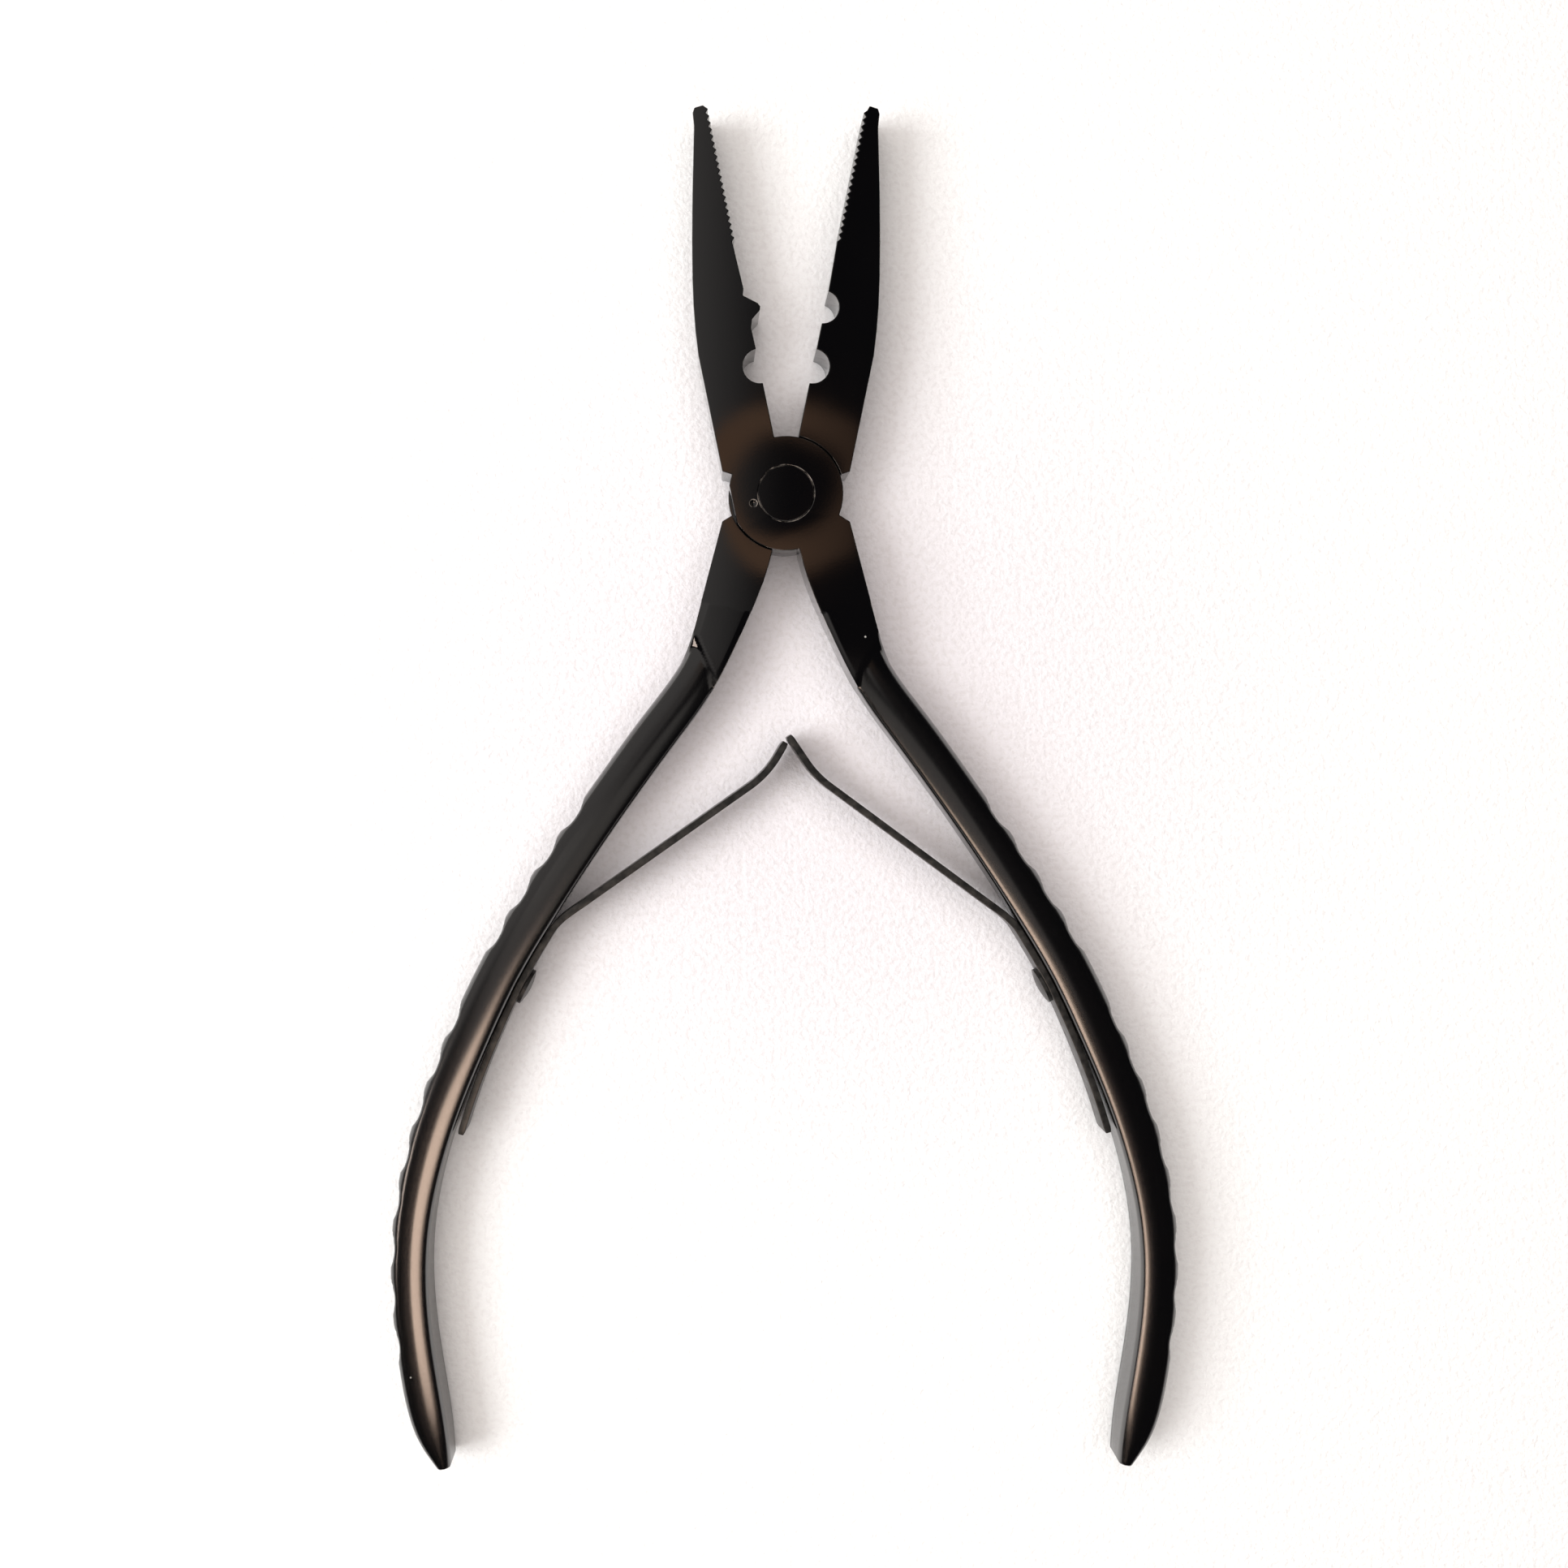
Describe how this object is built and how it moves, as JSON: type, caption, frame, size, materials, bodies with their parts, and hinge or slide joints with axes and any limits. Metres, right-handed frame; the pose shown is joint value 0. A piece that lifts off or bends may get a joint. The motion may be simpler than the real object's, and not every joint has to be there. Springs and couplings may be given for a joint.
{
  "type": "fishing pliers",
  "caption": "Slim spring-return pliers: toothed needle jaws with crimp holes, a flush-riveted lap joint and bowed, scalloped handles pushed apart by leaf springs.",
  "frame": {"origin": "pivot rivet's axis on the flat underside that the pliers lie on", "axes": "+Y towards the jaw tips, +Z out of the face that carries the upper lap and the punch mark, +X towards the right-hand jaw, all with the pliers at rest, open"},
  "size_m": [0.09, 0.1547, 0.007],
  "materials": {
    "coated_steel": "near-black gloss coating on polished steel",
    "rivet_steel": "near-black gloss coating, ground flush",
    "spring_steel": "blackened spring steel, satin",
    "spring_rivet_steel": "blackened steel, satin"
  },
  "bodies": {
    "upper": {"upper_half": "coated_steel", "pivot_rivet": "rivet_steel", "right_spring_leg": "spring_steel", "right_spring_rivet": "spring_rivet_steel"},
    "lower": {"lower_half": "coated_steel", "left_spring_leg": "spring_steel", "left_spring_rivet": "spring_rivet_steel"},
    "right_arm": {"right_spring_arm": "spring_steel"},
    "left_arm": {"left_spring_arm": "spring_steel"}
  },
  "joints": [
    {"name": "pivot", "type": "hinge", "parent": "upper", "child": "lower", "pos_m": [0, 0, 0.0035], "axis": [0, 0, 1], "range_deg": [0, 23.3], "stiffness_Nm_per_rad": 2},
    {"name": "right_spring_flex", "type": "hinge", "parent": "upper", "child": "right_arm", "pos_m": [0.02566, -0.04842, 0.0035], "axis": [0, 0, 1], "range_deg": [-15.4, 0]},
    {"name": "left_spring_flex", "type": "hinge", "parent": "lower", "child": "left_arm", "pos_m": [-0.02566, -0.04842, 0.0035], "axis": [0, 0, 1], "range_deg": [0, 12.6]}
  ],
  "couplings": [
    {"joint": "right_spring_flex", "follows": "pivot", "ratio": -0.66},
    {"joint": "left_spring_flex", "follows": "pivot", "ratio": 0.54}
  ]
}
